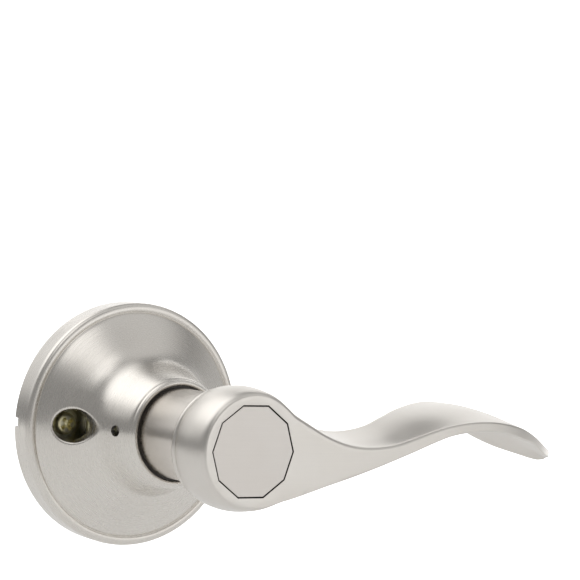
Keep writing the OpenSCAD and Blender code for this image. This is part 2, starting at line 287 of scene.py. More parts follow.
def spun_vec(t, g, around, across):
    k = math_node(t, "ADD", math_node(t, "MULTIPLY", g["r"], across), math_node(t, "MULTIPLY", g["y"], across * 0.83))
    return combine(t, math_node(t, "MULTIPLY", g["cx"], around), math_node(t, "MULTIPLY", g["cz"], around), k)


def line_vec(t, g, along, across):
    n = new(t, "ShaderNodeMapping")
    n.inputs["Scale"].default_value = (along, across, across)
    t.links.new(g["p"], n.inputs[0])
    return n.outputs[0]


def brushed(name, base, kind="spun", rough=0.3, aniso=0.6, grain=1.0, centre=(0, 0), tint=0.03, spread=0.05):
    """Satin metal with a fine brushed grain. kind is spun, line or lever (line on the arm, spun on the hub's side)."""
    mat = bpy.data.materials.new(name)
    t, b = nt(mat)
    g = grain_coords(t, kind, centre)
    b.inputs["Metallic"].default_value = 1.0
    b.inputs["Anisotropic"].default_value = aniso
    tang = vmath(t, "CROSS_PRODUCT", g["p"], (0.0, 1.0, 0.0)).outputs[0]
    fine_s, mid_s = spun_vec(t, g, 9.0, 5200), spun_vec(t, g, 2.2, 1300)
    if kind == "spun":
        fine, mid = noise(t, fine_s, 1, 3, 0.6), noise(t, mid_s, 1, 2, 0.5)
        t.links.new(tang, b.inputs["Tangent"])
        b.inputs["Anisotropic Rotation"].default_value = 0.25
    else:
        fine_l, mid_l = line_vec(t, g, 75, 5200), line_vec(t, g, 28, 1500)
        if kind == "line":
            fine, mid = noise(t, fine_l, 1, 3, 0.6), noise(t, mid_l, 1, 2, 0.5)
            t.links.new(combine(t, 1.0, 0.0, 0.0), b.inputs["Tangent"])
            b.inputs["Anisotropic Rotation"].default_value = 0.25
        else:
            nrm = new(t, "ShaderNodeNewGeometry").outputs["Normal"]
            sn = new(t, "ShaderNodeSeparateXYZ")
            t.links.new(nrm, sn.inputs[0])
            side = remap(t, sn.outputs[1], -0.90, -0.70, 0, 1)
            near = remap(t, g["x"], 0.004, 0.013, 1, 0)
            m = math_node(t, "MULTIPLY", side, near)

            def blendf(a, c):
                n = new(t, "ShaderNodeMix", data_type="FLOAT")
                t.links.new(m, n.inputs[0])
                t.links.new(a, n.inputs[2])
                t.links.new(c, n.inputs[3])
                return n.outputs[0]
            fine = blendf(noise(t, fine_l, 1, 3, 0.6), noise(t, fine_s, 1, 3, 0.6))
            mid = blendf(noise(t, mid_l, 1, 2, 0.5), noise(t, mid_s, 1, 2, 0.5))
            vm = new(t, "ShaderNodeMix", data_type="VECTOR")
            t.links.new(m, vm.inputs[0])
            vm.inputs[4].default_value = (1, 0, 0)
            t.links.new(vmath(t, "NORMALIZE", tang).outputs[0], vm.inputs[5])
            t.links.new(vm.outputs[1], b.inputs["Tangent"])
            b.inputs["Anisotropic Rotation"].default_value = 0.25
    both = math_node(t, "ADD", math_node(t, "MULTIPLY", fine, 0.6), math_node(t, "MULTIPLY", mid, 0.4))
    lo = tuple(max(0, c * (1 - tint)) for c in base)
    hi = tuple(min(1, c * (1 + tint)) for c in base)
    blot = noise(t, g["tc"], 60, 3, 0.55)
    col = new(t, "ShaderNodeMix", data_type="RGBA", blend_type="MULTIPLY")
    col.inputs[0].default_value = 1.0
    t.links.new(mixc(t, both, lo, hi), col.inputs[6])
    t.links.new(mixc(t, remap(t, blot, 0.3, 0.7, 0, 1), (0.975, 0.965, 0.955), (1.0, 1.0, 1.0)), col.inputs[7])
    t.links.new(col.outputs[2], b.inputs["Base Color"])
    t.links.new(remap(t, both, 0.3, 0.7, rough - spread, rough + spread), b.inputs["Roughness"])
    bump = new(t, "ShaderNodeBump")
    bump.inputs["Strength"].default_value = 0.35 * grain
    bump.inputs["Distance"].default_value = 0.00002
    t.links.new(both, bump.inputs["Height"])
    t.links.new(bump.outputs[0], b.inputs["Normal"])
    return mat


def plated(name, base, alt, rough=0.3, scale=240, metallic=1.0, bump_mm=0.01, edge=None):
    """Plated, cast or plain metal and moulded plastic: mottled colour, uneven roughness and a fine surface bump."""
    mat = bpy.data.materials.new(name)
    t, b = nt(mat)
    tc = new(t, "ShaderNodeTexCoord").outputs["Object"]
    n1 = noise(t, tc, scale, 4, 0.6)
    n2 = noise(t, tc, scale * 9, 3, 0.6)
    b.inputs["Metallic"].default_value = metallic
    c = mixc(t, remap(t, n1, 0.32, 0.68, 0, 1), base, alt)
    if edge:
        geo = new(t, "ShaderNodeNewGeometry").outputs["Pointiness"]
        worn = new(t, "ShaderNodeMix", data_type="RGBA")
        t.links.new(remap(t, geo, 0.52, 0.60, 0, 0.7), worn.inputs[0])
        t.links.new(c, worn.inputs[6])
        worn.inputs[7].default_value = (*edge, 1)
        c = worn.outputs[2]
    t.links.new(c, b.inputs["Base Color"])
    t.links.new(remap(t, n2, 0.3, 0.7, rough - 0.06, rough + 0.08), b.inputs["Roughness"])
    bump = new(t, "ShaderNodeBump")
    bump.inputs["Strength"].default_value = 0.5
    bump.inputs["Distance"].default_value = bump_mm * MM
    t.links.new(n2, bump.inputs["Height"])
    t.links.new(bump.outputs[0], b.inputs["Normal"])
    return mat


NICKEL = (0.66, 0.631, 0.586)
m_rose = brushed("satin_nickel_spun", NICKEL, "spun", rough=0.27, aniso=0.6, tint=0.045)
m_lever = brushed("satin_nickel_lever", NICKEL, "lever", rough=0.33, aniso=0.5, tint=0.055, grain=1.3, centre=(-0.0003, -0.0008))
m_cap = brushed("satin_nickel_cap", (0.61, 0.577, 0.538), "line", rough=0.34, aniso=0.5, tint=0.06, grain=1.3)
m_neck = brushed("satin_nickel_neck", (0.66, 0.625, 0.58), "spun", rough=0.24, aniso=0.5, grain=0.3, tint=0.012, spread=0.02)
m_yellow = plated("yellow_zinc", (0.84, 0.77, 0.44), (0.92, 0.88, 0.62), rough=0.42, scale=300, edge=(0.90, 0.88, 0.74))
m_plate = plated("zinc_plated_steel", (0.64, 0.58, 0.32), (0.78, 0.73, 0.50), rough=0.36, scale=260, edge=(0.85, 0.83, 0.7))
m_cast = plated("die_cast_zinc", (0.42, 0.42, 0.43), (0.52, 0.52, 0.52), rough=0.45, scale=420, bump_mm=0.03)
m_spring = plated("spring_steel", (0.16, 0.155, 0.15), (0.24, 0.23, 0.22), rough=0.30, scale=260, edge=(0.45, 0.44, 0.42))
m_steel = brushed("plain_steel", (0.56, 0.56, 0.56), "spun", rough=0.28, aniso=0.4)
# painted shade: a near-black, non-metallic finish for the lever's recess walls and floor and the face cap's sides and
# back, where the gap round the cap falls into shade
m_gap_shade = plated("painted_shade_recess", (0.020, 0.019, 0.018), (0.035, 0.033, 0.03), rough=0.7, scale=300, metallic=0.0, bump_mm=0.01)
m_nylon = plated("dark_nylon", (0.050, 0.043, 0.037), (0.070, 0.062, 0.054), rough=0.5, scale=500, metallic=0.0, bump_mm=0.02)

# ---------------------------------------------------------------- rose shell
R0 = 33.35
DISH = bspline([(30.4, 7.75), (29.4, 8.5), (28.0, 9.45), (26.0, 10.7), (24.0, 11.95), (22.0, 13.2), (20.4, 14.5), (19.1, 15.9),
                (18.1, 17.6), (17.3, 19.9), (16.6, 22.4), (15.95, 25.0), (15.35, 27.3), (14.95, 28.7)], 10)
DIN = bspline([(30.2, 6.75), (28.9, 7.6), (27.5, 8.55), (25.4, 9.85), (23.4, 11.1), (21.4, 12.45), (19.7, 13.8), (18.35, 15.4),
               (17.25, 17.5), (16.4, 19.6), (15.7, 22.1), (15.05, 24.5), (14.4, 26.6), (14.0, 27.7)], 10)
NA = 300
A_ROSE = sorted(angles(NA) + [math.pi + s * w / R0 for s in (-1, 1) for w in (1.05, 1.3)])
HOLE_X, HOLE_R, HOLE_Z = 22.6, 4.4, 0.15
PIN_H, PIN_R = 24.0, 1.5


class Dish:
    """A surface of revolution, flattened without distortion so that holes can be cut in it by triangulation."""

    def __init__(self, prof):
        self.r, self.h = prof[:, 0], prof[:, 1]
        d = np.hypot(np.diff(self.r), np.diff(self.h))
        self.s = np.concatenate([[0], np.cumsum(d)])
        mid = (self.r[1:] + self.r[:-1]) / 2
        self.lrho = np.concatenate([[0], -np.cumsum(d / mid)])

    def at_s(self, s):
        return np.interp(s, self.s, self.r), np.interp(s, self.s, self.h)

    def s_of_r(self, r):
        return np.interp(-r, -self.r, self.s)

    def h_of_r(self, r):
        return float(np.interp(-r, -self.r, self.h))

    def s_of_h(self, h):
        return np.interp(h, self.h, self.s)

    def flat(self, th, s):
        q = 30.0 * math.exp(float(np.interp(s, self.s, self.lrho)))
        return (q * math.cos(th), q * math.sin(th))


def fillet_r(sx, a):
    w = min(1.0, max(0.0, -sx * math.cos(a) + 0.1) / 0.9)
    return 0.87 - 0.42 * w * w * (3 - 2 * w)


def holed(bld, dish, rad, pin_r, n_hole=72):
    """Adds the dish with its holes; returns the ids of the outer ring, inner ring and the hole rings."""
    rows = int(dish.s[-1] / 0.55)
    ss = np.linspace(0, dish.s[-1], rows)
    holes = []
    for sx in (-1, 1):
        for k, dr in enumerate((0, 0.22, 0.5, 0.9)):
            loop = []
            for a in angles(n_hole):
                rr = rad(sx, a) + dr
                x, z = sx * HOLE_X + rr * math.cos(a), HOLE_Z * (-sx) + rr * math.sin(a)
                loop.append((math.atan2(z, x), float(dish.s_of_r(math.hypot(x, z)))))
            holes.append((loop, k == 0))
    for k, rr in enumerate((pin_r, pin_r + 0.12, pin_r + 0.35)):
        loop = []
        for a in angles(40):
            h, z = PIN_H + rr * math.cos(a), rr * math.sin(a)
            s = float(dish.s_of_h(h))
            r = float(dish.at_s(s)[0])
            loop.append((math.pi - math.asin(z / r), s))
        holes.append((loop, k == 0))
    pts3, loops, free = [], [], []
    th_s = []
    outer = [(a, 0.0) for a in A_ROSE]
    inner = [(a, float(dish.s[-1])) for a in A_ROSE]
    order = [outer, inner] + [lp for lp, first in holes if first]
    extra = [lp for lp, first in holes if not first]
    limit = []
    for lp, first in holes:
        P = np.array([[dish.at_s(s)[0] * math.cos(th), dish.at_s(s)[0] * math.sin(th), dish.at_s(s)[1]] for th, s in lp])
        limit.append((P.mean(0), np.linalg.norm(P - P.mean(0), axis=1).max()))
    flat_h = []
    for lp, first in holes:
        F = np.array([dish.flat(th, s) for th, s in lp])
        flat_h.append((F.mean(0), np.linalg.norm(F - F.mean(0), axis=1), first, F))
    fill = []
    for s in ss[1:-1]:
        for a in A_ROSE[::1]:
            q = np.array(dish.flat(a, s))
            ok = True
            for c, d, first, F in flat_h:
                dd = np.linalg.norm(F - q, axis=1).min()
                if np.linalg.norm(q - c) < d.max() * 1.02 or dd < 0.28:
                    ok = False
                    break
            if ok:
                fill.append((a, float(s)))
    flat_all = [dish.flat(*p) for lp in order for p in lp]
    loops2 = []
    for lp in order:
        loops2.append([dish.flat(*p) for p in lp])
    inner2 = [dish.flat(*p) for lp in extra for p in lp] + [dish.flat(*p) for p in fill]
    first_flat = [F for c, d, first, F in flat_h if first]

    centre = np.array([dish.flat(*p) for p in inner])

    def keep(x, y):
        return not within(centre, x, y) and not any(within(F, x, y) for F in first_flat)
    tris = cdt(loops2, inner2, keep)
    allp = [p for lp in order for p in lp] + [p for lp in extra for p in lp] + fill
    ids = bld.add([(float(dish.at_s(s)[0]) * math.cos(th), -float(dish.at_s(s)[1]), float(dish.at_s(s)[0]) * math.sin(th)) for th, s in allp])
    bld.f += [tuple(ids[i] for i in t) for t in tris]
    out, k = [], 0
    for lp in order:
        out.append(ids[k:k + len(lp)])
        k += len(lp)
    return out


rose = Build()
outer_dish, inner_dish = Dish(DISH), Dish(DIN)
o_out, o_in, oh_l, oh_r, o_pin = holed(rose, outer_dish, lambda sx, a: HOLE_R + fillet_r(sx, a), PIN_R)
i_out, i_in, ih_l, ih_r, i_pin = holed(rose, inner_dish, lambda sx, a: HOLE_R + 0.75, PIN_R)


def rim_h(a):
    d = abs((a - math.pi) * R0)
    return 1.6 if d < 1.2 else 0.0


rim = [(R0, 0), (R0 + 0.04, 2.0), (R0 + 0.10, 4.5), (R0 + 0.12, 5.9), (R0 + 0.06, 6.45), (R0 - 0.14, 6.88), (R0 - 0.5, 7.18), (R0 - 1.0, 7.36),
       (R0 - 1.5, 7.42), (31.45, 7.38), (31.2, 7.28), (31.06, 7.18), (30.96, 7.16), (30.86, 7.24), (30.7, 7.44), tuple(DISH[0])]
rim_f = np.vstack([bspline(rim[:4], 4), bspline(rim[3:-1], 4), [rim[-1]]])
rows = []
for r, h in rim_f:
    rows.append([(r * math.cos(a), -max(h, rim_h(a)), r * math.sin(a)) for a in A_ROSE])
rows[-1] = [rose.v[i] for i in o_out]
rose.grid(rows)
lip = [tuple(DISH[-1]), (14.78, 29.1), (14.66, 29.32), (14.5, 29.45), (14.42, 29.62), (14.36, 29.9), (14.2, 30.2), (13.95, 30.42), (13.6, 30.52),
       (13.25, 30.44), (13.0, 30.22), (12.88, 29.85), (12.86, 29.4), (12.92, 29.0), (13.2, 28.6), (13.65, 28.2), tuple(DIN[-1])]
lip_f = np.vstack([[lip[0]], bspline(lip[1:-1], 4), [lip[-1]]])
rows = [[(r * math.cos(a), -h, r * math.sin(a)) for a in A_ROSE] for r, h in lip_f]
rows[0] = [rose.v[i] for i in o_in]
rows[-1] = [rose.v[i] for i in i_in]
rose.grid(rows)
inn = [tuple(DIN[0]), (31.0, 6.35), (31.7, 6.3), (32.2, 6.15), (R0 - 0.9, 5.7), (R0 - 0.9, 3.0), (R0 - 0.9, 0)]
rows = [[(r * math.cos(a), -max(h, rim_h(a)), r * math.sin(a)) for a in A_ROSE] for r, h in inn] + \
       [[(R0 * math.cos(a), -max(0, rim_h(a)), R0 * math.sin(a)) for a in A_ROSE]]
rows[0] = [rose.v[i] for i in i_out]
rose.grid(rows)
# eyelets: fillet, bore wall, flange end and outer wall back to the inside of the dish
for sx, oh, ih in ((-1, oh_l, ih_l), (1, oh_r, ih_r)):
    n = len(oh)
    cz = HOLE_Z * (-sx)

    def rad_at(rr, a):
        return math.hypot(sx * HOLE_X + rr * math.cos(a), cz + rr * math.sin(a))
    rows = [[rose.v[i] for i in oh]]
    A = angles(n)

    def deep(a):
        w = min(1.0, max(0.0, -sx * math.cos(a) + 0.1) / 0.9)
        return 0.8 + 2.3 * w * w * (3 - 2 * w)
    for q in (15, 30, 45, 60, 75, 90):
        t = math.radians(q)
        row = []
        for a in A:
            FR = fillet_r(sx, a)
            rr = HOLE_R + FR * (1 - math.sin(t))
            row.append((sx * HOLE_X + rr * math.cos(a), -(outer_dish.h_of_r(rad_at(rr, a)) - deep(a) * (1 - math.cos(t))), cz + rr * math.sin(a)))
        rows.append(row)

    def end_h(a):
        toward = -sx * math.cos(a)  # 1 on the side of the axis
        return outer_dish.h_of_r(rad_at(HOLE_R, a)) - 2.2 - 0.7 * (1 + toward)
    for k in (0.33, 0.66, 1.0):
        rows.append([(sx * HOLE_X + HOLE_R * math.cos(a), -((1 - k) * (outer_dish.h_of_r(rad_at(HOLE_R, a)) - deep(a)) + k * end_h(a)), cz + HOLE_R * math.sin(a)) for a in A])
    rr = HOLE_R + 0.15
    rows.append([(sx * HOLE_X + rr * math.cos(a), -(end_h(a) - 0.12), cz + rr * math.sin(a)) for a in A])
    rr = HOLE_R + 0.75
    rows.append([(sx * HOLE_X + (rr - 0.12) * math.cos(a), -(end_h(a) - 0.12), cz + (rr - 0.12) * math.sin(a)) for a in A])
    rows.append([(sx * HOLE_X + rr * math.cos(a), -(min(end_h(a), inner_dish.h_of_r(rad_at(rr, a)) - 0.2)), cz + rr * math.sin(a)) for a in A])
    rows.append([rose.v[i] for i in ih])
    rose.grid(rows)
rows = [[rose.v[i] for i in o_pin], [rose.v[i] for i in i_pin]]
mid = [tuple((np.array(p) * 0.8 + np.array(q) * 0.2) + np.array([0, 0, 0])) for p, q in zip(*rows)]
rose.grid([rows[0], mid, rows[1]])
rose.make("rose_shell", "chassis", m_rose, node="rose", slot="satin_nickel", sharp=38, weld=2e-6)

# ---------------------------------------------------------------- lever
LH, HB = 66.9, 51.0
DX, DZ = -0.3, -0.8
ST = np.array([
    [0, -66.9, 12.0, -15.4, -51.6, 13.9, -15.5, 4.0, 1.9],
    [5, -66.9, 10.8, -14.9, -51.4, 12.7, -14.7, 4.0, 1.9],
    [11, -66.9, 8.2, -13.7, -51.1, 9.8, -11.4, 3.8, 1.8],
    [17, -66.9, 5.25, -12.05, -51.0, 7.3, -7.0, 3.4, 1.6],
    [23, -66.9, 2.4, -10.25, -50.9, 5.1, -3.2, 3.0, 1.4],
    [29, -66.9, 0.4, -8.55, -50.7, 3.7, -0.9, 2.6, 1.2],
    [35, -66.8, -0.5, -6.8, -50.4, 3.0, 0.1, 2.2, 1.0],
    [41, -66.6, -0.45, -4.95, -49.8, 3.3, 0.7, 1.9, 0.85],
    [47, -66.2, 0.3, -3.05, -48.9, 4.4, 1.8, 1.7, 0.75],
    [53, -65.8, 1.9, -1.1, -47.6, 6.5, 3.9, 1.5, 0.7],
    [59, -65.4, 3.65, 0.95, -45.8, 8.4, 5.8, 1.4, 0.65],
    [65, -64.9, 5.1, 2.75, -43.4, 9.5, 7.0, 1.3, 0.6],
    [71, -64.2, 5.95, 3.75, -40.2, 10.0, 7.5, 1.3, 0.6],
    [77, -63.4, 6.3, 4.15, -36.4, 9.9, 7.4, 1.3, 0.6],
    [83, -62.5, 6.15, 3.95, -32.6, 9.0, 6.5, 1.3, 0.6],
    [89, -61.4, 5.4, 3.0, -29.7, 7.1, 4.6, 1.3, 0.6],
    [95, -59.9, 4.0, 1.5, -28.2, 4.5, 2.0, 1.3, 0.6],
    [101, -57.6, 1.7, -0.15, -29.3, 1.5, -1.0, 1.3, 0.6],
    [105.5, -55.2, -0.35, -2.3, -33.0, -0.7, -3.2, 1.2, 0.6],
    [109.2, -52.6, -1.75, -3.75, -38.6, -1.9, -4.7, 1.1, 0.5],
    [112, -50.2, -2.55, -4.35, -43.7, -2.6, -5.75, 0.9, 0.4],
    [113.3, -49.1, -3.1, -4.6, -46.2, -3.2, -5.45, 0.5, 0.25],
    [113.7, -48.5, -3.7, -4.4, -47.1, -4.0, -5.0, 0.2, 0.05]])
TT = np.array([0, 0.07, 0.14, 0.22, 0.42, 0.60, 0.78, 0.93, 1.0])
T_HUB = np.array([0, 0.07, 0.14, 0.22, 0.42, 0.60, 0.76, 0.82, 0.865, 0.89, 0.915, 0.95, 0.98, 1.0])
HUB = np.array([(14.25, 66.9), (14.85, 66.62), (15.35, 65.9), (15.75, 64.6), (16.3, 60.9), (16.35, 57.7), (16.1, 54.95), (15.85, 54.0), (15.15, 53.2),
                (14.8, 52.9), (15.15, 52.6), (15.42, 52.0), (15.2, 51.3), (14.7, 51.0)])
ROWS = np.concatenate([np.linspace(0, 0.22, 10), np.linspace(0.22, 0.80, 14)[1:], np.linspace(0.80, 1.0, 17)[1:]])
hub_rows = hermite(T_HUB, HUB, ROWS)


def section(q):
    x, yf, ft, fb, yr, rt, rb, d, u = q
    w = yr - yf
    k = min(1, w / 6)
    e = 0.9 * k
    arch = 0.055 * w * min(1, max(0, (x - 30) / 25))
    wall = 0.16 * max(0, rb - fb)
    ta = ft + u * k
    g = min(0.3 * (rt - rb), 0.9)
    top = [(yf, ft), (yf + 0.12 * d * k, ft + 0.5 * u * k), (yf + 0.45 * d * k, ft + 0.86 * u * k), (yf + d * k, ta),
           (yf + 0.35 * w, ta + (rt - ta) * 0.29 + 0.9 * arch), (yf + 0.58 * w, ta + (rt - ta) * 0.55 + arch),
           (yf + 0.8 * w, ta + (rt - ta) * 0.8 + 0.6 * arch), (yr - e, rt), (yr - 0.1 * e, rt - g)]
    f = min(1.1, d) * k
    bot = [(yf, fb + 0.35 * k), (yf + 0.18 * f, fb + 0.08 * k), (yf + 0.5 * f, fb), (yf + 1.2 * f, fb - 0.02),
           (yf + 0.35 * w, fb + (rb - fb) * 0.42 + 0.9 * arch + wall * 0.3), (yf + 0.58 * w, fb + (rb - fb) * 0.68 + arch + wall * 0.3),
           (yf + 0.8 * w, fb + (rb - fb) * 0.86 + 0.6 * arch), (yr - e, rb), (yr - 0.1 * e, rb + g)]
    return hermite(TT, np.array(top), ROWS), hermite(TT, np.array(bot), ROWS)


def smax(a, b, k):
    h = np.clip(0.5 + 0.5 * (a - b) / k, 0, 1)
    return b + (a - b) * h + k * h * (1 - h)


X_ST = ST[:, 0]
xs = np.concatenate([np.linspace(DX, 17, 36), np.linspace(17, 101, 127)[1:], np.linspace(101, 112, 26)[1:], np.linspace(112, 113.7, 12)[1:]])
tops, bots = [], []
for x in xs:
    q = hermite(X_ST, ST, np.array([max(x, 0.0)]))[0]
    q[0] = x
    tp, bt = section(q)
    w = 1 - np.clip((x - 3) / 13.0, 0, 1)
    w = w * w * (3 - 2 * w)
    rh, hh = hub_rows[:, 0], hub_rows[:, 1]
    inside_c = np.clip(rh ** 2 - (x - DX) ** 2, 0, None)
    zt_h = np.where(np.abs(x - DX) < rh, DZ + np.sqrt(inside_c), -50.0)
    zb_h = np.where(np.abs(x - DX) < rh, DZ - np.sqrt(inside_c), 50.0)
    kk = 2.4
    zt = np.where(zt_h > -40, smax(zt_h, tp[:, 1], kk), tp[:, 1])
    zb = np.where(zb_h < 40, -smax(-zb_h, -bt[:, 1], kk), bt[:, 1])
    s = np.clip((x - DX) / 4.0, 0, 1)
    zt = (1 - s) * np.where(zt_h > -40, zt_h, zt) + s * zt
    zb = (1 - s) * np.where(zb_h < 40, zb_h, zb) + s * zb
    yt = w * (-hh) + (1 - w) * tp[:, 0]
    yb = w * (-hh) + (1 - w) * bt[:, 0]
    tops.append(np.stack([np.full(len(ROWS), x), yt, zt], 1))
    bots.append(np.stack([np.full(len(ROWS), x), yb, zb], 1))
NH = 72
arc = []
for i in range(1, NH):
    a = math.pi / 2 + math.pi * i / NH
    arc.append(np.stack([DX + hub_rows[:, 0] * math.cos(a), -hub_rows[:, 1], DZ + hub_rows[:, 0] * math.sin(a)], 1))
# one column runs from the front face to the back face; columns go tip -> top -> round the hub -> bottom -> tip
cols = tops[::-1] + arc + bots
lev = Build()
ids = [lev.add(c) for c in cols]
for a, b in zip(ids, ids[1:]):
    lev.strip(a, b, closed=False)
nt_, nb_ = len(tops), len(bots)
top_id = {i: ids[nt_ - 1 - i] for i in range(nt_)}
bot_id = {i: ids[len(cols) - nb_ + i] for i in range(nb_)}
split = int(np.argmin(np.abs(xs - 17.0)))
NS = 14
for row, i0 in ((0, split), (-1, split)):
    prev = None
    for i in range(i0, len(xs)):
        a, b = np.array(lev.v[top_id[i][row]]), np.array(lev.v[bot_id[i][row]])
        mids = lev.add([a + (b - a) * k / NS for k in range(1, NS)])
        cur = [top_id[i][row]] + mids + [bot_id[i][row]]
        if prev:
            lev.strip(prev, cur, closed=False)
        else:
            if row == 0:
                front_edge = cur
            else:
                back_edge = cur
        prev = cur
    # the end of the strip at the tip closes on the tip's own column
    last = prev
    if row == 0:
        tip_front = last
    else:
        tip_back = last
tip_loop = list(top_id[len(xs) - 1]) + tip_back[1:-1] + list(bot_id[len(xs) - 1])[::-1] + tip_front[1:-1][::-1]
c = np.mean([lev.v[i] for i in tip_loop], axis=0) + np.array([0.12, 0, 0])
ci = lev.add([c])[0]
for i in range(len(tip_loop)):
    lev.f.append((tip_loop[i], tip_loop[(i + 1) % len(tip_loop)], ci))


def region(outline_ids, holes_pts, y_of=None):
    """Fills the plane region inside an outline of existing points, with holes given as lists of new 3D points."""
    loops = [[(lev.v[i][0], lev.v[i][2]) for i in outline_ids]] + [[(p[0], p[2]) for p in h] for h in holes_pts]
    polys = [np.array(l) for l in loops]

    def ins(poly, x, y):
        X, Y = poly[:, 0], poly[:, 1]
        X2, Y2 = np.roll(X, -1), np.roll(Y, -1)
        hit = ((Y > y) != (Y2 > y)) & (x < (X2 - X) * (y - Y) / (Y2 - Y + 1e-15) + X)
        return bool(hit.sum() % 2)
    tris = cdt(loops, [], lambda x, y: ins(polys[0], x, y) and not any(ins(p, x, y) for p in polys[1:]))
    hid = [lev.add(h) for h in holes_pts]
    flat_ids = list(outline_ids) + [i for h in hid for i in h]
    lev.f += [tuple(flat_ids[i] for i in t) for t in tris]
    return hid


def outline(row, edge):
    loop = [top_id[i][row] for i in range(split, -1, -1)] + [ids[nt_ + i][row] for i in range(NH - 1)] + [bot_id[i][row] for i in range(0, split + 1)]
    return loop + edge[1:-1][::-1]


CAP_R, GAP, CH, CAP_T = 12.3, 0.34, 0.08, 1.6
dec = lambda r, h: [(DX + r * math.cos(a), -h, DZ + r * math.sin(a)) for a in angles(10)]
(d0,) = region(outline(0, front_edge), [dec(CAP_R + GAP + CH, LH)])
d1 = lev.add(dec(CAP_R + GAP, LH - CH))
d2 = lev.add(dec(CAP_R + GAP, LH - CAP_T))
lev.strip(d0, d1)
# the recess walls and floor below take the painted shade material, a black standing for the shade in the gap round the
# face cap
dark0 = len(lev.f)
lev.strip(d1, d2)
A96 = angles(90)
pts = [lev.v[i] for i in d2]
cl = ring(9.12, LH - CAP_T, A96, (DX, DZ))
bore2 = np.array([(p[0], p[2]) for p in cl])
dec2 = np.array([(p[0], p[2]) for p in pts])
tr = cdt([[(p[0], p[2]) for p in pts], [(p[0], p[2]) for p in cl]], [], lambda x, y: within(dec2, x, y) and not within(bore2, x, y))
c0 = lev.add(cl)
al = d2 + c0
lev.f += [tuple(al[i] for i in t) for t in tr]
lev.dark |= set(range(dark0, len(lev.f)))
c1 = lev.add(ring(9.12, 62.2, A96, (DX, DZ)))
c2 = lev.add(ring(10.44, 62.2, A96))
c3 = lev.add(ring(10.44, 54.05, A96))
c4 = lev.add(ring(12.3, 54.05, A96))
for a, b in ((c0, c1), (c1, c2), (c2, c3), (c3, c4)):
    lev.strip(a, b)
(c5,) = region(outline(-1, back_edge), [ring(12.3, HB, A96)])
lev.strip(c4, c5)
lev.make("lever_body", "lever", m_lever, node="lever", slot="satin_nickel", sharp=50, weighted=True, weld=4e-6, mat2=m_gap_shade)

# ---------------------------------------------------------------- face cap
cap = Build()
F = LH - 0.06
rows = [dec(CAP_R - 0.10, F), dec(CAP_R, F - 0.10), dec(CAP_R, LH - CAP_T + 0.02)]
ids_c = cap.grid(rows)
cap.f.append(tuple(ids_c[0]))
cap.f.append(tuple(ids_c[-1]))
# the cap's sides and back take the painted shade material, a black standing for the shade in the gap round the cap
cap.dark |= set(range(10, len(cap.f))) - {len(cap.f) - 2}
cap.make("face_cap_plate", "lever", m_cap, node="face_cap", slot="satin_nickel", sharp=20, mat2=m_gap_shade)

# ---------------------------------------------------------------- mounting screws
def screw(sx):
    cx = sx * 20.64
    top_h, hb = 6.1, 3.6
    A = angles(56)
    head = [(2.12, top_h), (2.4, top_h - 0.08), (2.7, hb + 2.2), (2.95, hb + 1.8), (3.08, hb + 1.25), (3.1, hb + 0.5), (3.06, hb + 0.12), (2.9, hb),
            (1.96, hb), (1.96, hb - 0.3), (1.96, 2.0), (1.78, 1.4)]
    rows = [ring(r, h, A, (cx, 0)) for r, h in head]
    pitch, steps = 0.9, 120
    for k in range(steps + 1):
        h = 0.8 - 16.4 * k / steps
        row = []
        for a in A:
            ph = ((h / pitch) + a / (2 * math.pi)) % 1.0
            tri = 1 - abs(2 * ph - 1)
            amp = np.clip((0.2 - h) / 1.0, 0, 1) * np.clip((h + 15.4) / 1.2, 0, 1)
            r = 1.72 + 0.36 * min(1, tri * 1.35) * amp
            row.append((cx + r * math.cos(a), -h, r * math.sin(a)))
        rows.append(row)
    rows.append(ring(1.1, -15.95, A, (cx, 0)))
    g = b.grid(rows)
    b.f.append(tuple(g[-1]))
    # cross recess, turned to a natural angle
    w, L = 0.52, 1.95

    def cross(w, L, h):
        base = [(L, -w), (L, w), (w + 0.42, w), (w, w + 0.42), (w, L), (-w, L), (-w, w + 0.42), (-w - 0.42, w), (-L, w), (-L, -w),
                (-w - 0.42, -w), (-w, -w - 0.42), (-w, -L), (w, -L), (w, -w - 0.42), (w + 0.42, -w)]
        ca, sa = math.cos(math.radians(38)), math.sin(math.radians(38))
        return [(cx + x * ca - y * sa, -h, x * sa + y * ca) for x, y in base]
    cr0 = cross(w, L, top_h)
    poly = np.array([(p[0], p[2]) for p in cr0])

    def ins(poly, x, y):
        X, Y = poly[:, 0], poly[:, 1]
        X2, Y2 = np.roll(X, -1), np.roll(Y, -1)
        hit = ((Y > y) != (Y2 > y)) & (x < (X2 - X) * (y - Y) / (Y2 - Y + 1e-15) + X)
        return bool(hit.sum() % 2)
    tr = cdt([[(p[0], p[2]) for p in rows[0]], [(p[0], p[2]) for p in cr0]], [], lambda x, y: not ins(poly, x, y))
    c0 = b.add(cr0)
    al = g[0] + c0
    b.f += [tuple(al[i] for i in t) for t in tr]
    c1 = b.add(cross(w * 0.82, L * 0.66, top_h - 1.5))
    b.strip(c0, c1)
    ctr = b.add([(cx, -(top_h - 1.9), 0)])[0]
    for i in range(len(c1)):
        b.f.append((c1[i], c1[(i + 1) % len(c1)], ctr))


b = Build()
screw(-1)
screw(1)
b.make("screws_threaded", "chassis", m_yellow, node="mounting_screws", slot="yellow_zinc", sharp=40, weld=1e-6)

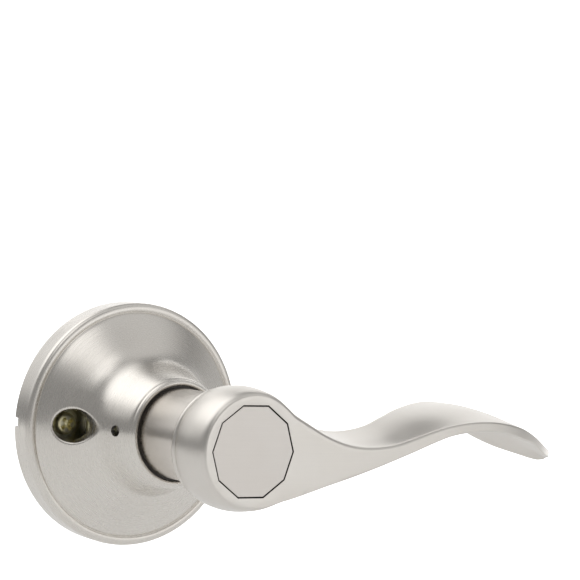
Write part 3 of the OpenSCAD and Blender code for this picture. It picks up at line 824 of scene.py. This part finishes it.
# ---------------------------------------------------------------- return spring: round wire along a path
def tube(bld, path, rad, m=16):
    P = np.array(path, float)
    T = np.gradient(P, axis=0)
    T /= np.linalg.norm(T, axis=1)[:, None]
    up = np.array([0, 1.0, 0]) if abs(T[0][1]) < 0.9 else np.array([1.0, 0, 0])
    n = np.cross(T[0], up)
    n /= np.linalg.norm(n)
    rows = []
    for i, (p, t) in enumerate(zip(P, T)):
        n = n - t * (n @ t)
        n /= np.linalg.norm(n)
        bn = np.cross(t, n)
        rows.append([p + rad * (math.cos(a) * n + math.sin(a) * bn) for a in angles(m)])
    first, last = [], []
    for k, c in ((0.9, 0.35), (0.62, 0.72)):
        first.append([P[0] - T[0] * rad * c * 0.9 + (np.array(q) - P[0]) * k for q in rows[0]])
        last.append([P[-1] + T[-1] * rad * c * 0.9 + (np.array(q) - P[-1]) * k for q in rows[-1]])
    ids = bld.grid(first[::-1] + rows + last)
    bld.f.append(tuple(ids[0]))
    bld.f.append(tuple(ids[-1]))


z0, pit, turns, cr_, wr = 4.7, 2.4, 4.05, 13.9, 0.9
a0 = math.radians(-99)
a1 = a0 + 2 * math.pi * turns
z1 = z0 + pit * turns
cyl = lambda r, a, h: (r * math.cos(a), -h, r * math.sin(a))
path = [cyl(15.95, a0, z1 - 9.7 * k / 12) for k in range(12)]
path += [cyl(15.95 - 0.9 * (1 - math.cos(t)), a0, z0 + 0.0 + 0.9 * (1 - math.sin(t)) - 0.0) for t in np.linspace(0.1, 1.4, 5)]
path += [cyl(14.6, a0, z0)]
path += [cyl(cr_ + 0.5 * max(0, 1 - k / 5), a0 + (a1 - a0) * k / 360, z0 + (z1 - z0) * k / 360) for k in range(2, 359)]
path += [cyl(14.6, a1, z1)]
path += [cyl(15.95 - 0.9 * (1 - math.cos(t)), a1, z1 - 0.9 * (1 - math.sin(t))) for t in np.linspace(1.4, 0.1, 5)]
path += [cyl(15.95, a1, z1 - 0.9 - 8.8 * k / 12) for k in range(1, 13)]
sp = Build()
tube(sp, path, wr)
sp.make("return_spring_coil", "chassis", m_yellow, node="return_spring", slot="yellow_zinc", sharp=60)

# ---------------------------------------------------------------- finishes on the CAD nodes that stay
FIN = {"rose_clips": m_spring, "mounting_plate": m_plate, "screw_washers": m_yellow, "bearing_sleeve": m_steel, "stop_posts": m_steel,
       "spring_anchor": m_steel, "guide_bushing": m_nylon, "cap_plug": m_nylon, "neck_sleeve": m_neck, "drive_tube": m_steel, "drive_cam": m_steel,
       "wave_washer": m_spring, "retaining_ring": m_spring, "spindle_block": m_cast, "spindle": m_steel, "spindle_pin": m_steel,
       "lever_catch": m_steel, "catch_spring": m_spring}
for n, m in FIN.items():
    me = nodes[n].data
    me.materials.clear()
    me.materials.append(m)

# ---------------------------------------------------------------- stage and lights
def stage_mat():
    mat = bpy.data.materials.new("pale_sweep")
    t, b = nt(mat)
    tc = new(t, "ShaderNodeTexCoord").outputs["Object"]
    b.inputs["Roughness"].default_value = 0.9
    b.inputs["Specular IOR Level"].default_value = 0.0
    t.links.new(mixc(t, noise(t, tc, 3, 2, 0.5), (0.94, 0.94, 0.94), (0.955, 0.955, 0.955)), b.inputs["Base Color"])
    b.inputs["Emission Color"].default_value = (1, 1, 1, 1)
    far = vmath(t, "DOT_PRODUCT", tc, (fdir.x, fdir.y, 0.0)).outputs["Value"]
    t.links.new(remap(t, far, 0.5, 1.5, 0.0, SWEEP_GLOW), b.inputs["Emission Strength"])
    return mat


SWEEP_GLOW = 0.62
fdir = Vector((-back.x, -back.y, 0)).normalized()
side = Vector((fdir.y, -fdir.x, 0))
me = bpy.data.meshes.new("sweep")
vs, fs = [], []
prof = [(-2.3, -0.22), (0.0, -0.22), (1.4, -0.22)] + [(1.6 + 0.8 * math.sin(a), -0.22 + 0.8 * (1 - math.cos(a))) for a in np.linspace(0.0, math.pi / 2, 15)] + [(2.4, 2.6)]
for k, (d, z) in enumerate(prof):
    wide = 2.0 if k < 3 else 1.45
    for s in (-wide, wide):
        p = fdir * d + side * s
        vs.append((p.x, p.y, z))
for k in range(len(prof) - 1):
    fs.append((2 * k, 2 * k + 1, 2 * k + 3, 2 * k + 2))
me.from_pydata(vs, [], fs)
me.shade_smooth()
sweep = bpy.data.objects.new("sweep", me)
scene.collection.objects.link(sweep)
me.materials.append(stage_mat())


def area(name, loc, target, size, radiance, col=(1, 1, 1)):
    L = bpy.data.lights.new(name, "AREA")
    L.shape = "RECTANGLE"
    L.size, L.size_y = size
    L.energy = radiance * size[0] * size[1] * math.pi
    L.color = col
    o = bpy.data.objects.new(name, L)
    o.location = loc
    o.rotation_euler = (Vector(target) - Vector(loc)).to_track_quat("-Z", "Y").to_euler()
    scene.collection.objects.link(o)
    return o


area("key", (-0.36, -0.98, 1.2), (0, 0, 0), (0.75, 0.75), 0.8)
world = bpy.data.worlds.new("studio")
scene.world = world
world.use_nodes = True
wt = world.node_tree
bg = wt.nodes["Background"]
direction = new(wt, "ShaderNodeTexCoord").outputs["Generated"]
wsep = new(wt, "ShaderNodeSeparateXYZ")
wt.links.new(direction, wsep.inputs[0])
total = remap(wt, wsep.outputs[2], -0.1, 1.0, 0.34, 0.36)
# soft boxes: direction, radius of the even part, radius where it ends (degrees), radiance added
BOXES = [((-0.34, 0.36, 0.87), 14, 40, 0.95), ((-0.437, 0.628, 0.643), 26, 38, 0.60), ((0.57, -0.82, 0.0), 18, 32, 0.85),
         ((0.97, 0.25, 0.0), 12, 34, 0.30), ((0.47, -0.34, 0.81), 12, 34, 0.42), ((-0.22, -0.62, 0.75), 12, 28, 0.40),
         ((0.2, -0.95, -0.25), 14, 34, 0.35)]
for d, full, end, add in BOXES:
    dv = Vector(d).normalized()
    dot = vmath(wt, "DOT_PRODUCT", direction, (dv.x, dv.y, dv.z)).outputs["Value"]
    n = new(wt, "ShaderNodeMapRange", clamp=True, interpolation_type="SMOOTHSTEP")
    wt.links.new(dot, n.inputs[0])
    for i, v in enumerate((math.cos(math.radians(end)), math.cos(math.radians(full)), 0.0, add)):
        n.inputs[i + 1].default_value = v
    total = math_node(wt, "ADD", total, n.outputs[0])
bg.inputs[0].default_value = (0.985, 0.99, 1.0, 1)
wt.links.new(total, bg.inputs[1])
